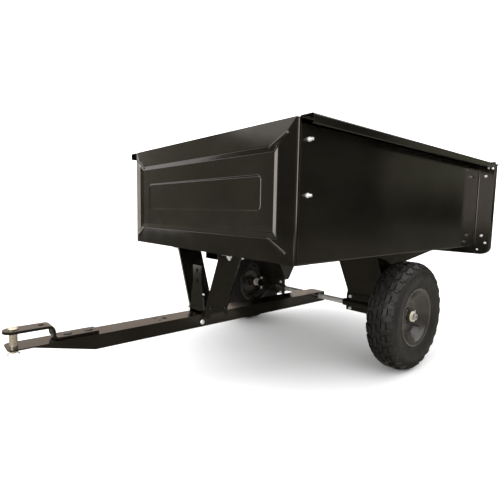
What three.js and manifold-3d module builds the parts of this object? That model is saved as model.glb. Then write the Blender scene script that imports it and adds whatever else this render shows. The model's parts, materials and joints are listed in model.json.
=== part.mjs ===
// Tow-behind dump cart: a steel bed on two pneumatic wheels, a channel tongue
// that the bed tips about, a clevis hitch and a lift-out tailgate.
//
// Millimetres, +Z up, the hitch points to -Y and the tailgate to +Y.
// Every piece is drawn in "cart" coordinates first: x = 0 on the centre plane,
// y = 0 on the axle and z = 0 on the ground. One group then moves the whole
// cart along Y, so that the origin ends under the middle of its outline.

import * as THREE from 'three';
import { mergeVertices } from 'three/addons/utils/BufferGeometryUtils.js';
import Module from 'manifold-3d';

const wasm = await Module();
wasm.setup();

// ---------------------------------------------------------------- dimensions

const GAP = 0.3;                    // clearance between pieces that touch
const SHEET = 1.6;                  // bed panels
const PLATE = 3;                    // brackets, legs and tongue

const BED = { halfWidth: 381, frontY: -524, rearY: 463, floorZ: 357, topZ: 664 };
const RAIL = { overhang: 36, lip: 20 };
const PLATEAU = { halfWidth: 318, low: 410, high: 611, depth: 8, bevel: 9 };
const REAR_FLANGE = 34;

const TAIL = { halfWidth: 430, lowZ: 328, topZ: 655, depth: 27.7, wall: 2.5, corner: 28, lip: 30 };
const TAIL_EAR = 7;

const AXLE = { z: 164, radius: 9.5, halfLength: 396 };
const WHEEL = { centreX: 361, radius: 164, halfWidth: 47, rimRadius: 89, rimHalf: 38, hubIn: 40, hubOut: 22 };
const WHEEL_SIDES = 36;
const HUB_RADIUS = 17;
const BUSH_RADIUS = 12.5;

const TONGUE = { halfWidth: 30, topZ: 178, lowZ: 143, tipY: -990, rearY: 28 };
const TAPER = { startY: -949, endY: -816 };
const PIN = { y: -975, radius: 7.9, headRadius: 9.6, topZ: 218, lowZ: 163, clipZ: 170 };
const STRAP = { halfWidth: 20, thick: 6, legZ: 207.5, dropY: -901, rearY: -804 };
const STRAP_BOLTS = [-868, -822];

const BRACKET = { inner: 150, outer: 298, lowZ: 139, kneeZ: 208, frontY: -80, rearY: 95 };
const WING = { rearY: 330, rearZ: 345, waistZ: 313 };
const CLAMP = { boltZ: [145, 187], boltInset: 16, topZ: 197, boreWall: 3 };

const LEG = { frontY: -518, rearY: -438, footX: 46, topX: 113, footZ: 168, kneeZ: 185, topZ: 353.7 };
const LEG_FLANGE = 9;
const LEG_FOOT_OUT = 28;

const LEVER = { pivotY: -521, pivotZ: 157, webY: -518, rearY: -508.5, topZ: 315, halfWidth: 32.6 };
const GRIP = { halfWidth: 22, lowZ: 262, flareZ: 226 };
const CATCH = { y: -503, z: 195, radius: 4 };
const STOP = { y: -452, z: 190, radius: 4, sleeve: 11.3 };

const CHANNEL = { halfWidth: 30, lowZ: 329, frontY: -468, rearY: 430, flange: 20 };

const M8 = { radius: 4, head: 7.5, headHigh: 5.5, headSides: 6, nut: 7.5, nutHigh: 6.5, stud: 6 };
const M6 = { radius: 3, head: 5.6, headHigh: 4.2, headSides: 6, nut: 5.6, nutHigh: 5, stud: 4 };
const CARRIAGE = { ...M8, head: 9.5, headHigh: 3.2, headSides: 16 };

// ----------------------------------------------------------------- materials

const finish = (color, roughness, metalness) =>
  new THREE.MeshStandardMaterial({ color, roughness, metalness });

const BLACK_PAINT = finish(0x23211c, 0.28, 0.1);
const BARE_STEEL = finish(0xb9b6ae, 0.35, 0.9);
const ZINC = finish(0xc9c9c6, 0.3, 0.9);
const YELLOW_ZINC = finish(0xc9a75a, 0.35, 0.85);
const RUBBER = finish(0x2b2a28, 0.85, 0.0);
const NYLON = finish(0xd9c69a, 0.5, 0.0);

// ------------------------------------------------------- solids and booleans

/**
 * A closed three.js geometry as a solid that can be joined and cut. Its corners are
 * put on a grid of 1/1024 mm, so that faces meant to be flush are exactly flush.
 */
function solid(geometry) {
  const bare = geometry.clone();
  bare.deleteAttribute('normal');
  bare.deleteAttribute('uv');
  const corners = bare.attributes.position.array;
  corners.forEach((value, i) => { corners[i] = Math.round(value * 1024) / 1024; });
  const welded = mergeVertices(bare, 1e-4);
  return new wasm.Manifold(new wasm.Mesh({
    numProp: 3,
    vertProperties: new Float32Array(welded.attributes.position.array),
    triVerts: new Uint32Array(welded.index.array),
  }));
}

/** The three.js geometry of a solid. */
function surface(body) {
  const { vertProperties, triVerts } = body.getMesh();
  const geometry = new THREE.BufferGeometry();
  geometry.setAttribute('position', new THREE.BufferAttribute(vertProperties, 3));
  geometry.setIndex(new THREE.BufferAttribute(triVerts, 1));
  geometry.computeVertexNormals();
  return geometry;
}

/** The same solid mirrored across the centre plane when side is -1. */
function onSide(side, body) {
  if (side > 0) return body;
  const { vertProperties, triVerts } = body.getMesh();
  const points = Float32Array.from(vertProperties, (value, i) => (i % 3 === 0 ? -value : value));
  const faces = Uint32Array.from(triVerts, (_, i) => triVerts[i - (i % 3) + (2 - (i % 3))]);
  return new wasm.Manifold(new wasm.Mesh({ numProp: 3, vertProperties: points, triVerts: faces }));
}

const join = (...bodies) => bodies.reduce((sum, body) => sum.add(body));
const cut = (body, ...tools) => tools.reduce((rest, tool) => rest.subtract(tool), body);

function block(x0, x1, y0, y1, z0, z1) {
  const box = new THREE.BoxGeometry(x1 - x0, y1 - y0, z1 - z0);
  return solid(box.translate((x0 + x1) / 2, (y0 + y1) / 2, (z0 + z1) / 2));
}

function extruded(shape, length) {
  return new THREE.ExtrudeGeometry(shape, { depth: length, bevelEnabled: false, curveSegments: 8 });
}

const outline = (points) => new THREE.Shape(points.map(([a, b]) => new THREE.Vector2(a, b)));

/** A flat outline of [y, z] points, carried along X from x0 to x1. */
function alongX(points, x0, x1) {
  const geometry = extruded(outline(points), x1 - x0);
  return solid(geometry.rotateX(Math.PI / 2).rotateZ(Math.PI / 2).translate(x0, 0, 0));
}

/** A flat outline of [x, z] points, carried along Y from y0 to y1. */
function alongY(points, y0, y1) {
  const shape = points instanceof THREE.Shape ? points : outline(points);
  return solid(extruded(shape, y1 - y0).rotateX(Math.PI / 2).translate(0, y1, 0));
}

/** A flat outline in x and y, carried along Z from z0 to z1. */
function alongZ(shape, z0, z1) {
  return solid(extruded(shape, z1 - z0).translate(0, 0, z0));
}

/** A straight bar along an axis ('x', 'y' or 'z') from a to b; at holds the other two places. */
function bar(axis, radius, a, b, at, sides = 12) {
  const rod = new THREE.CylinderGeometry(radius, radius, b - a, sides);
  const mid = (a + b) / 2;
  if (axis === 'x') return solid(rod.rotateZ(Math.PI / 2).translate(mid, at[0], at[1]));
  if (axis === 'y') return solid(rod.translate(at[0], mid, at[1]));
  return solid(rod.rotateX(Math.PI / 2).translate(at[0], at[1], mid));
}

/** A ring or wheel: [x, radius] points turned about the X axis, from the angle start. */
function turned(points, sides, start = 0) {
  const profile = points.map(([x, radius]) => new THREE.Vector2(radius, x));
  if (THREE.ShapeUtils.isClockWise(profile)) profile.reverse();
  profile.push(profile[0].clone());
  return solid(new THREE.LatheGeometry(profile, sides, start).rotateZ(-Math.PI / 2));
}

/** A round wire through points. */
function wire(points, radius, steps, sides = 8) {
  const section = new THREE.Shape();
  section.absarc(0, 0, radius, 0, 2 * Math.PI);
  const path = new THREE.CatmullRomCurve3(points.map((p) => new THREE.Vector3(...p)));
  const geometry = new THREE.ExtrudeGeometry(section, {
    steps, bevelEnabled: false, extrudePath: path, curveSegments: sides,
  });
  return solid(geometry);
}

/**
 * A bolt with its nut: the head's bearing face is at a and the nut's at b.
 * The head lies beyond a, and the nut and the end of the thread beyond b.
 */
function bolt(axis, a, b, at, size = M8) {
  const way = Math.sign(b - a);
  const span = (p, q) => [Math.min(p, q), Math.max(p, q)];
  const headEnd = a - way * size.headHigh;
  const nutEnd = b + way * size.nutHigh;
  return join(
    bar(axis, size.head, ...span(headEnd, a), at, size.headSides),
    bar(axis, size.radius, ...span(a - way, nutEnd + way * size.stud), at, 8),
    bar(axis, size.nut, ...span(b, nutEnd), at, 6),
  );
}

// --------------------------------------------------------------- the assembly

const cart = new THREE.Group();
const frontmostY = PIN.y - STRAP.halfWidth;
const rearmostY = BED.rearY + GAP + TAIL.depth;
cart.position.y = -(frontmostY + rearmostY) / 2;

function place(name, body, material, group = cart) {
  const mesh = new THREE.Mesh(surface(body), material);
  mesh.name = name;
  group.add(mesh);
}

const SIDES = [['left', -1], ['right', 1]];
const M8_HOLE = M8.radius + 0.5;
const M6_HOLE = M6.radius + 0.4;

// -- tongue and hitch

function tonguePlate() {
  const { halfWidth, tipY, rearY } = TONGUE;
  const corner = 12;
  const shape = new THREE.Shape();
  shape.moveTo(halfWidth, rearY);
  shape.lineTo(-halfWidth, rearY);
  shape.lineTo(-halfWidth, tipY + corner);
  shape.absarc(corner - halfWidth, tipY + corner, corner, Math.PI, 1.5 * Math.PI);
  shape.absarc(halfWidth - corner, tipY + corner, corner, 1.5 * Math.PI, 2 * Math.PI);
  shape.closePath();
  return alongZ(shape, TONGUE.topZ - PLATE, TONGUE.topZ);
}

function tongue() {
  const under = TONGUE.topZ - PLATE / 2;
  const flange = alongX(
    [[TAPER.startY, under], [TAPER.endY, TONGUE.lowZ], [TONGUE.rearY, TONGUE.lowZ], [TONGUE.rearY, under]],
    TONGUE.halfWidth - PLATE, TONGUE.halfWidth,
  );
  const reach = TONGUE.halfWidth + 5;
  const down = (radius, x, y) => bar('z', radius, TONGUE.lowZ, TONGUE.topZ + 5, [x, y]);
  return cut(
    join(tonguePlate(), flange, onSide(-1, flange)),
    bar('x', AXLE.radius + 0.7, -reach, reach, [0, AXLE.z], 20),
    bar('x', M8_HOLE, -reach, reach, [LEVER.pivotY, LEVER.pivotZ]),
    down(PIN.radius + 0.65, 0, PIN.y),
    ...STRAP_BOLTS.map((y) => down(M8_HOLE, 0, y)),
    down(7, 0, -622),
    down(4, -14, -643),
    down(4, 10, -641),
  );
}

function hitchStrap() {
  const { halfWidth, thick, legZ, dropY, rearY } = STRAP;
  const half = thick / 2;
  const foot = TONGUE.topZ + GAP;
  const profile = [
    [PIN.y, legZ + thick], [dropY, legZ + thick], [dropY + half, legZ + half],
    [dropY + half, foot + thick], [rearY, foot + thick], [rearY, foot],
    [dropY, foot], [dropY - half, foot + half], [dropY - half, legZ], [PIN.y, legZ],
  ];
  return cut(
    join(
      alongX(profile, -halfWidth, halfWidth),
      bar('z', halfWidth, legZ, legZ + thick, [0, PIN.y], 24),
    ),
    bar('z', PIN.radius + 0.65, legZ - 5, legZ + thick + 5, [0, PIN.y]),
    bar('z', 6, legZ - 5, legZ + thick + 5, [0, -922]),
    ...STRAP_BOLTS.map((y) => bar('z', M8_HOLE, foot - 5, foot + thick + 5, [0, y])),
  );
}

/** The hitch pin, with a cross hole near its end for the clip. */
function hitchPin() {
  const headZ = STRAP.legZ + STRAP.thick + GAP;
  return cut(
    join(
      bar('z', PIN.radius, PIN.lowZ, headZ + 1, [0, PIN.y], 16),
      bar('z', PIN.headRadius, headZ, PIN.topZ, [0, PIN.y], 20),
    ),
    bar('x', 1.9, -20, 20, [PIN.y, PIN.clipZ]),
  );
}

/** A wire hairpin: one straight leg through the pin, one bowed leg round it. */
function hairpinClip() {
  const { y, clipZ, radius } = PIN;
  const leg = wire([[-14, y, clipZ], [0, y, clipZ], [14, y, clipZ]], 1.25, 4);
  const bow = wire([
    [14, y, clipZ], [22, y - 3, clipZ], [25, y - 10, clipZ], [18, y - 13, clipZ],
    [8, y - radius - 4, clipZ], [-8, y - radius - 2.6, clipZ], [-16, y - 11, clipZ],
  ], 1.25, 26);
  return join(leg, bow);
}

place('tongue', tongue(), BLACK_PAINT);
place('hitch_strap', hitchStrap(), BLACK_PAINT);
STRAP_BOLTS.forEach((y, i) => {
  const top = TONGUE.topZ + GAP + STRAP.thick + GAP;
  const name = `strap_bolt_${['front', 'rear'][i]}`;
  place(name, bolt('z', top, TONGUE.topZ - PLATE - GAP, [0, y], CARRIAGE), BLACK_PAINT);
});
place('hitch_pin', hitchPin(), YELLOW_ZINC);
place('hairpin_clip', hairpinClip(), YELLOW_ZINC);

// -- latch lever, its pivot bolt and spring

/** A narrow channel to pull on, which flares to two ears outside the tongue's flanges. */
function latchLever() {
  const { pivotY, pivotZ, webY, rearY, topZ, halfWidth } = LEVER;
  const { lowZ, flareZ } = GRIP;
  const ear = 2;
  const round = 9;
  const webLow = 190;
  const tab = 12;
  const arc = Array.from({ length: 9 }, (_, i) => {
    const turn = Math.PI * (1 + i / 8);
    return [pivotY + round * Math.cos(turn), pivotZ + round * Math.sin(turn)];
  });
  const hook = [[0, -5], [-4, -3], [-4, 4], [0, 6]].map(([y, z]) => [rearY + y, CATCH.z + z]);
  const cheek = alongX(
    [[webY, flareZ], [webY, webLow], ...arc, ...hook, [rearY, flareZ]],
    halfWidth - ear, halfWidth,
  );
  const wall = alongY([
    [halfWidth - ear, flareZ - 1], [halfWidth, flareZ - 1], [halfWidth, flareZ], [GRIP.halfWidth, lowZ],
    [GRIP.halfWidth, topZ], [GRIP.halfWidth - ear, topZ], [GRIP.halfWidth - ear, lowZ], [halfWidth - ear, flareZ],
  ], webY, rearY);
  const halfWeb = [
    [halfWidth - 1, webLow], [halfWidth - 1, flareZ],
    [GRIP.halfWidth - 1, lowZ], [GRIP.halfWidth - 1, topZ],
  ];
  const web = alongY([...halfWeb, ...halfWeb.map(([x, z]) => [-x, z]).reverse()], webY, webY + ear);
  return cut(
    join(
      cheek, onSide(-1, cheek), wall, onSide(-1, wall), web,
      block(1 - halfWidth, halfWidth - 1, webY - tab, webY + 1, webLow, webLow + ear),
    ),
    bar('x', M8_HOLE, -40, 40, [pivotY, pivotZ]),
    bar('y', 5, webY - 5, webY + 5, [0, 300]),
    bar('y', 5, webY - 5, webY + 5, [0, 270]),
  );
}

function latchSpring() {
  const x = LEVER.halfWidth + 2.6;
  const low = [x, LEVER.pivotY + 5, 188];
  const high = [x, LEVER.pivotY + 1, 230];
  return wire([low, high.map((value, i) => (value + low[i]) / 2), high], 2.2, 2, 10);
}

place('latch_lever', latchLever(), BLACK_PAINT);
place('latch_spring', latchSpring(), ZINC);
const outsideEars = LEVER.halfWidth + GAP;
const pivotHeads = { ...M8, head: 7, nut: 6.8, nutHigh: 5, headHigh: 4.5, stud: 2 };
place('latch_pivot_bolt', bolt('x', outsideEars, -outsideEars, [LEVER.pivotY, LEVER.pivotZ], pivotHeads), ZINC);

// -- bed: floor, front panel, side panels, tail frame, centre channel

const FLOOR_UNDER = BED.floorZ + SHEET + GAP;
const SIDE_INSIDE = BED.halfWidth - SHEET;
const FRONT_HALF = SIDE_INSIDE - GAP;
const SIDE_BOLTS = [505, 620];
const SIDE_BOLT_Y = BED.frontY + 27;
const TAIL_BOLTS = [397, 613];
const TAIL_BOLT_X = 405;

/** A raised field with sloping edges, from one [half width, low, high] to another. */
function pressedField(grow) {
  const { halfWidth, low, high, depth, bevel } = PLATEAU;
  const field = new THREE.Shape();
  field.moveTo(-halfWidth - grow, low - grow);
  field.lineTo(halfWidth + grow, low - grow);
  field.lineTo(halfWidth + grow, high + grow);
  field.lineTo(-halfWidth - grow, high + grow);
  field.closePath();
  const geometry = new THREE.ExtrudeGeometry(field, {
    depth: SHEET, bevelEnabled: true, bevelSegments: 1, bevelThickness: depth, bevelSize: bevel,
  });
  return solid(geometry.rotateX(Math.PI / 2));
}

function frontPanel() {
  const { frontY, floorZ, topZ } = BED;
  const back = frontY + SHEET;
  const shift = (body, y) => body.translate([0, y, 0]);
  const raised = shift(pressedField(0), frontY + SHEET);
  const hollow = shift(pressedField(-SHEET / 2), frontY + 2 * SHEET);
  const flange = block(FRONT_HALF - SHEET, FRONT_HALF, frontY, frontY + 40, floorZ, topZ - 4);
  const sheet = join(
    block(-FRONT_HALF, FRONT_HALF, frontY, back, floorZ, topZ),
    raised.subtract(block(-400, 400, back, frontY + 60, floorZ, topZ)),
    flange,
    onSide(-1, flange),
    block(-FRONT_HALF, FRONT_HALF, frontY, frontY + 24, floorZ, floorZ + SHEET),
    block(-FRONT_HALF, FRONT_HALF, frontY, frontY + 14, topZ - SHEET, topZ),
  );
  const holes = SIDE_BOLTS.map((z) => bar('x', M8_HOLE, -400, 400, [SIDE_BOLT_Y, z], 8));
  return cut(sheet, hollow.subtract(block(-400, 400, back + 2, frontY + 60, floorZ, topZ)), ...holes);
}

function sidePanel() {
  const { halfWidth, frontY, rearY, floorZ, topZ } = BED;
  const edge = halfWidth + RAIL.overhang;
  const start = frontY + 4;
  const sheet = join(
    block(SIDE_INSIDE, halfWidth, start, rearY, floorZ, topZ),
    block(halfWidth - 25, halfWidth, frontY + 42, rearY, floorZ, floorZ + SHEET),
    block(SIDE_INSIDE, edge, frontY, rearY, topZ - SHEET, topZ),
    block(edge - SHEET, edge, frontY, rearY, topZ - RAIL.lip, topZ),
    alongY([
      [SIDE_INSIDE, floorZ], [halfWidth + REAR_FLANGE - 14, floorZ], [halfWidth + REAR_FLANGE, floorZ + 14],
      [halfWidth + REAR_FLANGE, topZ - 4], [SIDE_INSIDE, topZ - 4],
    ], rearY - SHEET, rearY),
  );
  return cut(
    sheet,
    ...SIDE_BOLTS.map((z) => bar('x', M8_HOLE, 370, 400, [SIDE_BOLT_Y, z], 8)),
    ...TAIL_BOLTS.map((z) => bar('y', M8_HOLE, rearY - 10, rearY + 10, [TAIL_BOLT_X, z], 8)),
  );
}

/** A U outline, open at the top, with rounded lower corners. */
function tailOutline(inset, topZ) {
  const half = TAIL.halfWidth - inset;
  const low = TAIL.lowZ + inset;
  const radius = TAIL.corner - inset;
  const shape = new THREE.Shape();
  shape.moveTo(half, topZ);
  shape.lineTo(-half, topZ);
  shape.lineTo(-half, low + radius);
  shape.absarc(-half + radius, low + radius, radius, Math.PI, 1.5 * Math.PI);
  shape.lineTo(half - radius, low);
  shape.absarc(half - radius, low + radius, radius, 1.5 * Math.PI, 2 * Math.PI);
  shape.closePath();
  return shape;
}

function tailFrame() {
  const front = BED.rearY + GAP;
  const rear = front + TAIL.depth;
  const { halfWidth, wall, topZ, lip } = TAIL;
  const mouth = block(-BED.halfWidth - 3, BED.halfWidth + 3, front - 5, front + wall + 1, 353, topZ + 10);
  const back = block(lip - halfWidth, halfWidth - lip, rear - wall - 1, rear + 5, TAIL.lowZ + lip, topZ + 10);
  const slot = alongY(tailOutline(wall, topZ + 10), front + wall, rear - wall);
  const ear = block(halfWidth - 1, halfWidth + TAIL_EAR, front, rear, topZ - wall, topZ);
  const holes = TAIL_BOLTS.flatMap((z) => [-1, 1].map((side) =>
    bar('y', M8_HOLE, front - 5, front + wall + 5, [side * TAIL_BOLT_X, z], 8)));
  const shell = join(alongY(tailOutline(0, topZ), front, rear), ear, onSide(-1, ear));
  return cut(shell, slot, mouth, back, ...holes);
}

/** The gate: a flat pan with its rim turned to the rear. */
function tailgate() {
  const front = BED.rearY + GAP + TAIL.wall + 3;
  const rear = front + 17;
  const inset = TAIL.wall + 1.5;
  const pan = alongY(tailOutline(inset, BED.topZ), front, rear);
  const inside = alongY(tailOutline(inset + SHEET, BED.topZ - SHEET), front + SHEET, rear + 5);
  return pan.subtract(inside);
}

function bedChannel() {
  const { halfWidth, lowZ, frontY, rearY, flange } = CHANNEL;
  const top = FLOOR_UNDER - GAP;
  const hat = [
    [-halfWidth - flange, top - 2], [-halfWidth, top - 2], [-halfWidth, lowZ], [halfWidth, lowZ],
    [halfWidth, top - 2], [halfWidth + flange, top - 2], [halfWidth + flange, top],
    [halfWidth - 2, top], [halfWidth - 2, lowZ + 2], [2 - halfWidth, lowZ + 2],
    [2 - halfWidth, top], [-halfWidth - flange, top],
  ];
  return alongY(hat, frontY, rearY);
}

place('bed_floor', block(3 - SIDE_INSIDE, SIDE_INSIDE - 3, BED.frontY + SHEET + GAP,
  BED.rearY - SHEET - GAP, FLOOR_UNDER, FLOOR_UNDER + SHEET), BLACK_PAINT);
place('front_panel', frontPanel(), BLACK_PAINT);
place('tail_frame', tailFrame(), BLACK_PAINT);
place('tailgate', tailgate(), BLACK_PAINT);
place('bed_channel', bedChannel(), BLACK_PAINT);

for (const [name, side] of SIDES) {
  place(`side_panel_${name}`, onSide(side, sidePanel()), BLACK_PAINT);
  SIDE_BOLTS.forEach((z, i) => {
    const ends = [FRONT_HALF - SHEET - GAP, BED.halfWidth + GAP].map((x) => side * x);
    place(`front_bolt_${name}_${['low', 'high'][i]}`, bolt('x', ...ends, [SIDE_BOLT_Y, z]), ZINC);
  });
  TAIL_BOLTS.forEach((z, i) => {
    const ends = [BED.rearY + GAP + TAIL.wall + GAP, BED.rearY - SHEET - GAP];
    const slim = { ...M8, headHigh: 2.2 };
    place(`tail_bolt_${name}_${['low', 'high'][i]}`, bolt('y', ...ends, [side * TAIL_BOLT_X, z], slim), ZINC);
  });
}

// -- latch legs under the front of the bed, with their two cross bolts

/** The leg's outer face at height z. */
function legX(z) {
  const { footX, topX, kneeZ, topZ } = LEG;
  return z < kneeZ ? footX : footX + (topX - footX) * (z - kneeZ) / (topZ - kneeZ);
}

function latchLeg() {
  const { frontY, rearY, footX, topX, footZ, kneeZ, topZ } = LEG;
  const run = (depth, y0, y1) => alongY([
    [footX, footZ], [footX, kneeZ], [topX, topZ],
    [topX - depth, topZ], [footX - depth, kneeZ + 1], [footX - depth, footZ],
  ], y0, y1);
  return cut(
    join(
      run(PLATE, frontY, rearY),
      run(LEG_FLANGE, frontY, frontY + PLATE),
      run(LEG_FLANGE, rearY - PLATE, rearY),
      block(topX - 25, topX + LEG_FOOT_OUT, frontY, rearY, topZ - 0.5, topZ + PLATE - 0.5),
    ),
    ...[CATCH, STOP].map(({ y, z }) => bar('x', M8_HOLE, 20, 70, [y, z])),
  );
}

/** A long bolt through both legs, heads and nuts outside them. */
function crossBolt({ y, z, radius }) {
  const outside = legX(z + 8) + 1;
  const size = { ...M8, radius, stud: 3 };
  return bolt('x', -outside, outside, [y, z], size);
}

for (const [name, side] of SIDES) {
  place(`latch_leg_${name}`, onSide(side, latchLeg()), BLACK_PAINT);
}
place('catch_bolt', crossBolt(CATCH), ZINC);
place('stop_bolt', crossBolt(STOP), ZINC);
const sleeveEnd = LEG.footX - LEG_FLANGE - GAP;
place('stop_sleeve', cut(
  bar('x', STOP.sleeve, -sleeveEnd, sleeveEnd, [STOP.y, STOP.z], 16),
  bar('x', STOP.radius + GAP, -60, 60, [STOP.y, STOP.z]),
), RUBBER);

// -- axle, brackets and clamps

function axleBracket() {
  const { inner, outer, lowZ, kneeZ, frontY, rearY } = BRACKET;
  const top = FLOOR_UNDER - GAP;
  const boreOuter = AXLE.radius + GAP + CLAMP.boreWall;
  const front = [
    [0, lowZ], [0, kneeZ], [frontY, top], [frontY + 3.6, top], [PLATE, kneeZ + 1], [PLATE, lowZ],
  ];
  const wing = [
    [0, 197], [0, kneeZ], [frontY, top], [WING.rearY, top], [WING.rearY, WING.rearZ],
    [rearY, WING.waistZ], [26, 202], [20, 197],
  ];
  const saddle = bar('x', boreOuter, inner, outer, [0, AXLE.z], 20);
  return cut(
    join(
      alongX(front, inner, outer),
      alongX(wing, inner, inner + PLATE),
      alongX(wing, outer - PLATE, outer),
      block(inner, outer, frontY, rearY, top - PLATE, top),
      saddle.subtract(block(inner - 5, outer + 5, -30, 0, lowZ, kneeZ)),
    ),
    bar('x', AXLE.radius + GAP, inner - 5, outer + 5, [0, AXLE.z], 20),
    ...clampBolts().map(([x, z]) => bar('y', M6_HOLE, -10, 12, [x, z], 8)),
  );
}

function clampBolts() {
  const { inner, outer } = BRACKET;
  const columns = [inner + CLAMP.boltInset, outer - CLAMP.boltInset];
  return columns.flatMap((x) => CLAMP.boltZ.map((z) => [x, z]));
}

function axleClamp() {
  const { inner, outer, lowZ } = BRACKET;
  const boreOuter = AXLE.radius + GAP + CLAMP.boreWall;
  const saddle = bar('x', boreOuter, inner - 10, outer, [0, AXLE.z], 20);
  return cut(
    join(
      block(inner, outer, -GAP - PLATE, -GAP, lowZ, CLAMP.topZ),
      saddle.subtract(block(inner - 20, outer + 5, -GAP, 30, lowZ - 10, CLAMP.topZ)),
    ),
    bar('x', AXLE.radius + GAP, inner - 20, outer + 5, [0, AXLE.z], 20),
    ...clampBolts().map(([x, z]) => bar('y', M6_HOLE, -10, 5, [x, z], 8)),
  );
}

function axle() {
  const rod = bar('x', AXLE.radius, -AXLE.halfLength, AXLE.halfLength, [0, AXLE.z], 20);
  return cut(rod, ...[-1, 1].map((side) => bar('z', 2, 140, 190, [side * COTTER_X, 0], 8)));
}

function cotterPin() {
  const eye = new THREE.TorusGeometry(3.6, 1.4, 6, 12).rotateY(Math.PI / 2);
  return join(
    bar('z', 1.5, AXLE.z - 17, AXLE.z + 13, [COTTER_X, 0], 8),
    solid(eye.translate(COTTER_X, 0, AXLE.z + 15.5)),
  );
}

const HUB_END = WHEEL.centreX + WHEEL.hubOut;
const BUSH_FLANGE = 2.5;
const WASHER = 2;
const COTTER_X = HUB_END + BUSH_FLANGE + WASHER + 3 * GAP + 2;

place('axle', axle(), BARE_STEEL);
for (const [name, side] of SIDES) {
  place(`axle_bracket_${name}`, onSide(side, axleBracket()), BLACK_PAINT);
  place(`axle_clamp_${name}`, onSide(side, axleClamp()), BLACK_PAINT);
  clampBolts().forEach(([x, z], i) => {
    const label = ['inner_low', 'inner_high', 'outer_low', 'outer_high'][i];
    const ends = [-2 * GAP - PLATE, PLATE + GAP];
    place(`clamp_bolt_${name}_${label}`, bolt('y', ...ends, [side * x, z], M6), ZINC);
  });
  const spacerOut = WHEEL.centreX - WHEEL.hubIn - BUSH_FLANGE - 2 * GAP;
  const spacer = turned([
    [BRACKET.outer + GAP, AXLE.radius + GAP], [spacerOut, AXLE.radius + GAP],
    [spacerOut, 14], [BRACKET.outer + GAP, 14],
  ], 16);
  const washerIn = HUB_END + BUSH_FLANGE + 2 * GAP;
  const washer = turned([
    [washerIn, AXLE.radius + GAP], [washerIn + WASHER, AXLE.radius + GAP],
    [washerIn + WASHER, 17], [washerIn, 17],
  ], 20);
  const atAxle = new THREE.Group();
  atAxle.position.z = AXLE.z;
  cart.add(atAxle);
  place(`axle_spacer_${name}`, onSide(side, spacer), BARE_STEEL, atAxle);
  place(`axle_washer_${name}`, onSide(side, washer), ZINC, atAxle);
  place(`cotter_pin_${name}`, onSide(side, cotterPin()), ZINC);
}

// -- wheels, each in a group of its own at the hub's centre

/** The tyre: a shell, open between its two beads. It stands on one of its flats. */
function tyre() {
  const { halfWidth, rimHalf } = WHEEL;
  const radius = WHEEL.radius / Math.cos(Math.PI / WHEEL_SIDES);
  const bead = WHEEL.rimRadius - 8;
  const outer = [
    [rimHalf - 4.5, bead], [rimHalf - 4.5, bead + 14], [halfWidth - 2, bead + 24], [halfWidth, bead + 38],
    [halfWidth - 2, radius - 32], [halfWidth - 8, radius - 14], [halfWidth - 18, radius - 3],
    [halfWidth - 32, radius],
  ];
  const inner = [
    [halfWidth - 30, radius - 12], [halfWidth - 16, radius - 22], [halfWidth - 10, bead + 38],
    [halfWidth - 14, bead + 22], [rimHalf - 16, bead + 8], [rimHalf - 16, bead],
  ];
  const mirrored = (points) => points.map(([x, r]) => [-x, r]).reverse();
  return turned([...outer, ...mirrored(outer), ...mirrored(inner), ...inner], WHEEL_SIDES, Math.PI / WHEEL_SIDES);
}

/** The pressed rim with its welded hub tube; outboard is +x. */
function rim() {
  const { rimRadius, rimHalf, hubIn, hubOut } = WHEEL;
  const seat = rimRadius - 8 - GAP;
  const well = seat - 14;
  const bore = BUSH_RADIUS + GAP;
  return turned([
    [-hubIn, bore], [hubOut, bore], [hubOut, HUB_RADIUS], [10, HUB_RADIUS + 1],
    [8, 46], [16, 58], [rimHalf - 8, seat - 3], [rimHalf, seat - 2], [rimHalf, rimRadius],
    [rimHalf - 3, rimRadius], [rimHalf - 4, seat], [rimHalf - 17, seat], [12, well],
    [-12, well], [17 - rimHalf, seat], [4 - rimHalf, seat], [3 - rimHalf, rimRadius],
    [-rimHalf, rimRadius], [-rimHalf, seat - 2], [14 - rimHalf, seat - 4], [-10, well - 3],
    [6, well - 3], [10, 60], [5, 49], [4, HUB_RADIUS + 1], [-hubIn, HUB_RADIUS],
  ], WHEEL_SIDES, Math.PI / WHEEL_SIDES);
}

/** A flanged bush, pressed in from the +x end of a hub that ends at hubEnd. */
function bush(hubEnd) {
  const bore = AXLE.radius + GAP;
  const seat = hubEnd + GAP;
  const length = 20;
  return turned([
    [hubEnd - length, bore], [seat + BUSH_FLANGE, bore], [seat + BUSH_FLANGE, 16],
    [seat, 16], [seat, BUSH_RADIUS], [hubEnd - length, BUSH_RADIUS],
  ], 20);
}

const VALVE = { y: 26, z: -32, radius: 4 };

for (const [name, side] of SIDES) {
  const wheel = new THREE.Group();
  wheel.position.set(side * WHEEL.centreX, 0, AXLE.z);
  cart.add(wheel);
  const valveHole = bar('x', VALVE.radius + GAP, 0, 30, [VALVE.y, VALVE.z], 10);
  const stem = bar('x', VALVE.radius, 1, 34, [VALVE.y, VALVE.z], 10);
  place(`tyre_${name}`, onSide(side, tyre()), RUBBER, wheel);
  place(`rim_${name}`, onSide(side, cut(rim(), valveHole)), BLACK_PAINT, wheel);
  place(`bush_outer_${name}`, onSide(side, bush(WHEEL.hubOut)), NYLON, wheel);
  place(`bush_inner_${name}`, onSide(-side, bush(WHEEL.hubIn)), NYLON, wheel);
  place(`valve_stem_${name}`, onSide(side, stem), RUBBER, wheel);
}

export default cart;
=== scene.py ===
"""The looks of the tow-behind dump cart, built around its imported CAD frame.

Lengths are in millimetres until a piece is finished, and then in metres. The
frame has +Z up, the hitch at -Y, the tailgate at +Y, and mirrored sides in X.
"""

import json
import math

import bmesh
import bpy
from mathutils import Matrix, Vector


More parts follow.
